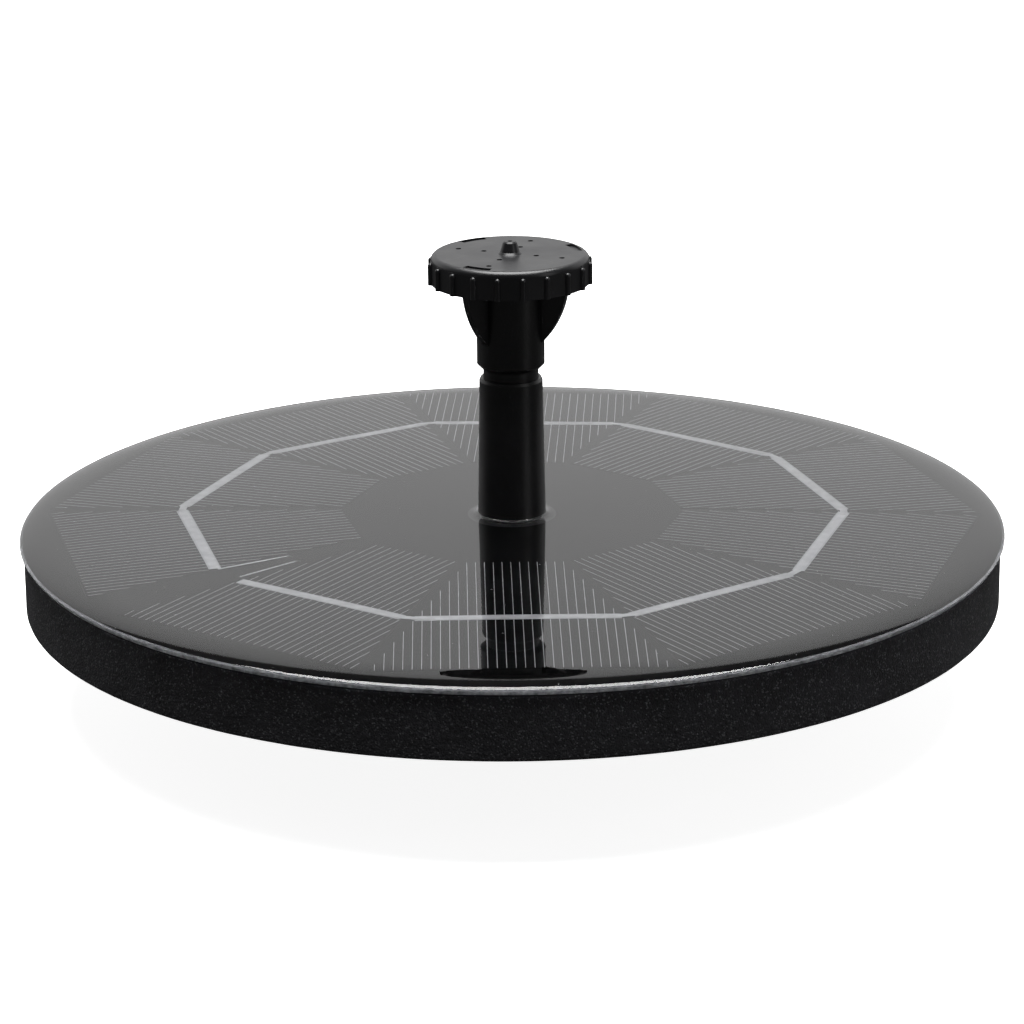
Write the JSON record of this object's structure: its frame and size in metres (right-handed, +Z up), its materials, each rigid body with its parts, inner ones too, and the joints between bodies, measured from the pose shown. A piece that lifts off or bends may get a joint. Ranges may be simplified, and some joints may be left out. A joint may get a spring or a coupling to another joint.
{
  "type": "solar fountain pump",
  "caption": "Floating round solar panel on a foam ring with a submersible pump below, a pull-out riser tube and a finned spray head whose cap pulls off.",
  "frame": {"origin": "on the pump's flat underside, on the axis of the riser tube, 2.1 mm in front of the panel's centre", "axes": "+Z up along the riser tube; the pump shaft lies along Y with the water intake towards -Y"},
  "size_m": [0.16, 0.16, 0.0763],
  "materials": {
    "clear_resin": "clear cast epoxy resin, glossy",
    "silicon_cell": "dark silicon wafer with a printed silver grid",
    "tinned_copper": "bright tinned copper strip",
    "board_laminate": "black glass-epoxy laminate",
    "silicone_bond": "black silicone adhesive",
    "foam_tape": "black double-sided foam tape",
    "eva_foam": "cut closed-cell EVA foam, matt",
    "pump_shell": "moulded ABS, satin",
    "nozzle_plastic": "moulded ABS, satin",
    "gland_rubber": "moulded rubber",
    "wire_sleeve": "PVC sleeve",
    "solder": "solder",
    "silicon_steel": "stamped laminations",
    "enamelled_copper": "enamelled copper wire",
    "driver_laminate": "green circuit laminate",
    "chip_resin": "moulded chip packages",
    "potting_resin": "black potting epoxy",
    "shaft_steel": "ground stainless steel",
    "bush_plastic": "acetal",
    "ferrite": "sintered ferrite",
    "impeller_plastic": "white moulded plastic",
    "seal_rubber": "nitrile rubber",
    "screw_steel": "stainless steel",
    "filter_foam": "open-cell filter sponge"
  },
  "bodies": {
    "float": {"backing_board": "board_laminate", "bond_layer": "silicone_bond", "cable_gland": "gland_rubber", "chamber_cover": "pump_shell", "chamber_o_ring": "seal_rubber", "cover_screws": "screw_steel", "driver_board": "driver_laminate", "driver_chips": "chip_resin", "float_ring": "eva_foam", "foam_tape": "foam_tape", "front_bush": "bush_plastic", "panel_leads": "tinned_copper", "potting": "potting_resin", "pump_body": "pump_shell", "rear_bush": "bush_plastic", "resin_dome": "clear_resin", "ribbon_links": "tinned_copper", "shaft": "shaft_steel", "solar_cell_01": "silicon_cell", "solar_cell_02": "silicon_cell", "solar_cell_03": "silicon_cell", "solar_cell_04": "silicon_cell", "solar_cell_05": "silicon_cell", "solar_cell_06": "silicon_cell", "solar_cell_07": "silicon_cell", "solar_cell_08": "silicon_cell", "solar_cell_09": "silicon_cell", "solar_cell_10": "silicon_cell", "solder_joints": "solder", "stator_coils": "enamelled_copper", "stator_core": "silicon_steel", "supply_leads": "wire_sleeve", "tabbing_ribbons": "tinned_copper"},
    "rotor": {"rotor_magnet": "ferrite", "impeller": "impeller_plastic"},
    "grille": {"intake_grille": "pump_shell", "filter_sponge": "filter_foam"},
    "riser": {"riser_tube": "nozzle_plastic"},
    "head": {"spray_stem": "nozzle_plastic", "cap_seal": "seal_rubber"},
    "cap": {"spray_cap": "nozzle_plastic"}
  },
  "joints": [
    {"name": "impeller_spin", "type": "hinge", "parent": "float", "child": "rotor", "pos_m": [0, 0, 0.0115], "axis": [0, 1, 0], "continuous": true},
    {"name": "grille_pull", "type": "slide", "parent": "float", "child": "grille", "axis": [0, -1, 0], "range_m": [0, 0.02]},
    {"name": "riser_pull", "type": "slide", "parent": "float", "child": "riser", "axis": [0, 0, 1], "range_m": [0, 0.025]},
    {"name": "head_pull", "type": "slide", "parent": "riser", "child": "head", "axis": [0, 0, 1], "range_m": [0, 0.012]},
    {"name": "cap_pull", "type": "slide", "parent": "head", "child": "cap", "axis": [0, 0, 1], "range_m": [0, 0.006]}
  ]
}
